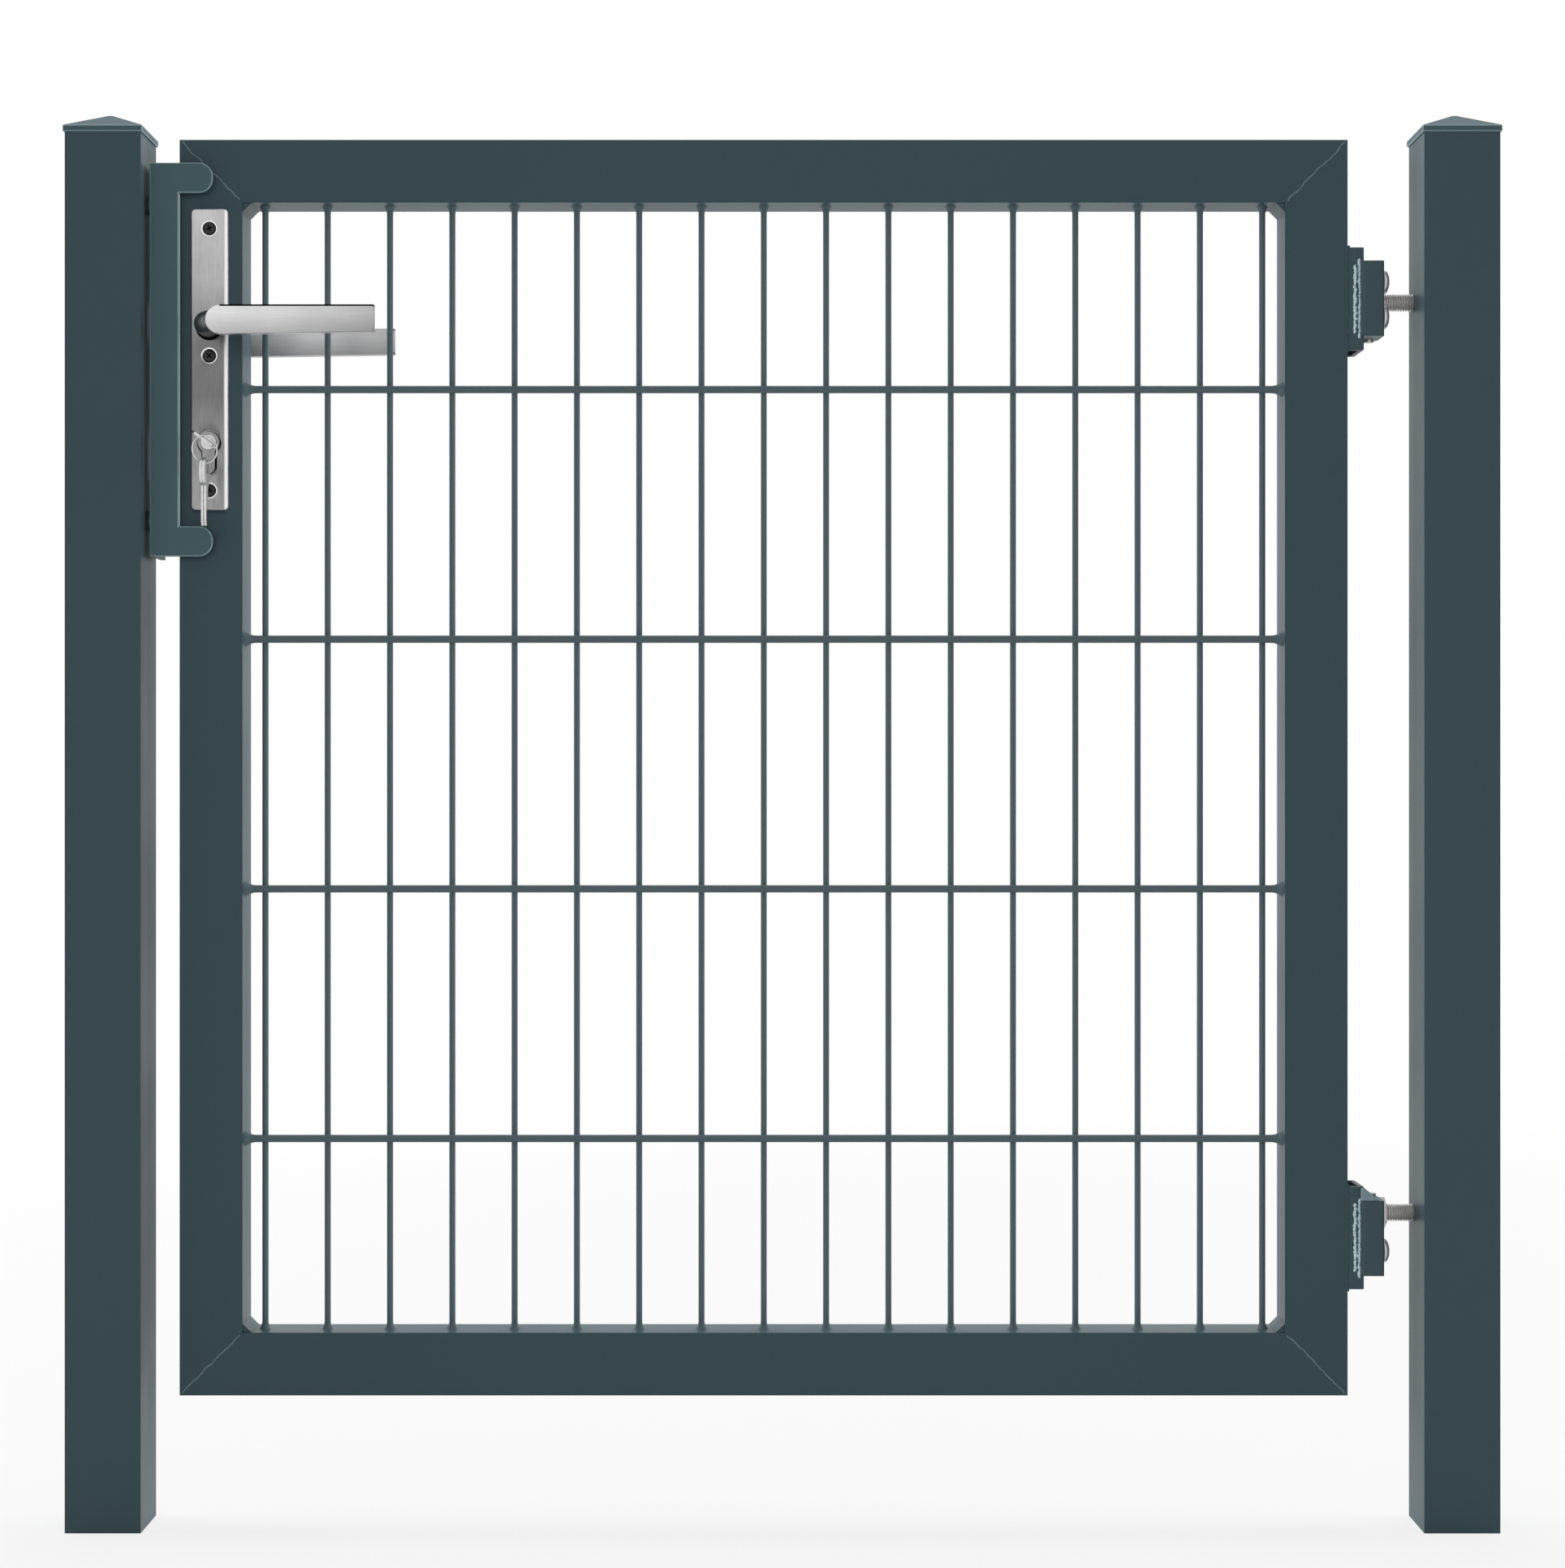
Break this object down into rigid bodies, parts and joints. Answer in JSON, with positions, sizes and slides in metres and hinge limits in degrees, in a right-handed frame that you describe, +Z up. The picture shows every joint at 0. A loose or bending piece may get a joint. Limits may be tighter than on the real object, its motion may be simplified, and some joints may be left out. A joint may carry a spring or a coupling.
{
  "type": "single-leaf gate",
  "caption": "Garden gate of one mitred tube leaf with a welded rod mesh, hung by adjustable hinges between capped square posts, with lever handle, lock and stop plate.",
  "frame": {"origin": "middle of the hinge post's foot, at ground level", "axes": "+Z up the post, -X along the closed leaf towards the latch post, +Y the side the leaf opens to"},
  "size_m": [1.135, 0.1402, 1.124],
  "materials": {
    "frame_paint": "satin anthracite powder coat",
    "stop_paint": "satin anthracite powder coat, slightly greener",
    "mesh_paint": "satin anthracite powder coat over zinc",
    "hinge_paint": "satin anthracite powder coat",
    "cap_plastic": "moulded, matt",
    "bolt_steel": "zinc plated",
    "satin_steel": "satin",
    "satin_alloy": "satin, fine brushed",
    "cylinder_nickel": "nickel plated brass",
    "key_nickel": "nickel plated"
  },
  "bodies": {
    "root": {"latch_post": "frame_paint", "latch_post_cap": "cap_plastic", "stop_plate": "stop_paint", "keep_strip": "stop_paint", "keep_bolts": "bolt_steel", "keep_spacers": "bolt_steel", "upper_hinge_rod": "bolt_steel", "lower_hinge_rod": "bolt_steel", "upper_hinge_bush": "bolt_steel", "lower_hinge_bush": "bolt_steel", "lower_hinge_nut": "bolt_steel", "hinge_post": "frame_paint", "hinge_post_cap": "cap_plastic"},
    "leaf": {"lock_stile": "frame_paint", "hinge_stile": "frame_paint", "top_rail": "frame_paint", "bottom_rail": "frame_paint", "corner_welds": "frame_paint", "mesh_panel": "mesh_paint", "upper_hinge_channel": "hinge_paint", "lower_hinge_channel": "hinge_paint", "upper_hinge_block": "hinge_paint", "lower_hinge_block": "hinge_paint", "upper_hinge_pin": "bolt_steel", "lower_hinge_pin": "bolt_steel", "upper_hinge_bolts": "bolt_steel", "lower_hinge_bolts": "bolt_steel", "lock_forend": "satin_steel", "lock_case": "bolt_steel", "latch_bolt": "satin_steel", "dead_bolt": "satin_steel", "front_escutcheon": "satin_alloy", "back_escutcheon": "satin_alloy", "front_plate_screws": "satin_steel", "back_plate_screws": "satin_steel", "lock_cylinder": "cylinder_nickel", "rear_plug": "cylinder_nickel", "front_plug": "cylinder_nickel", "key": "key_nickel", "key_ring": "key_nickel", "spare_key_left": "key_nickel", "spare_key_right": "key_nickel"},
    "handle": {"front_lever": "satin_alloy", "back_lever": "satin_alloy", "spindle": "bolt_steel"}
  },
  "joints": [
    {"name": "leaf_swing", "type": "hinge", "parent": "root", "child": "leaf", "pos_m": [-0.065, 0.017, 0.6035], "axis": [0, 0, 1], "range_deg": [-90, 0]},
    {"name": "handle_turn", "type": "hinge", "parent": "leaf", "child": "handle", "pos_m": [-0.991, 0.014, 0.954], "axis": [0, 1, 0], "range_deg": [0, 40], "stiffness_Nm_per_rad": 1, "springref_deg": -34.38}
  ]
}
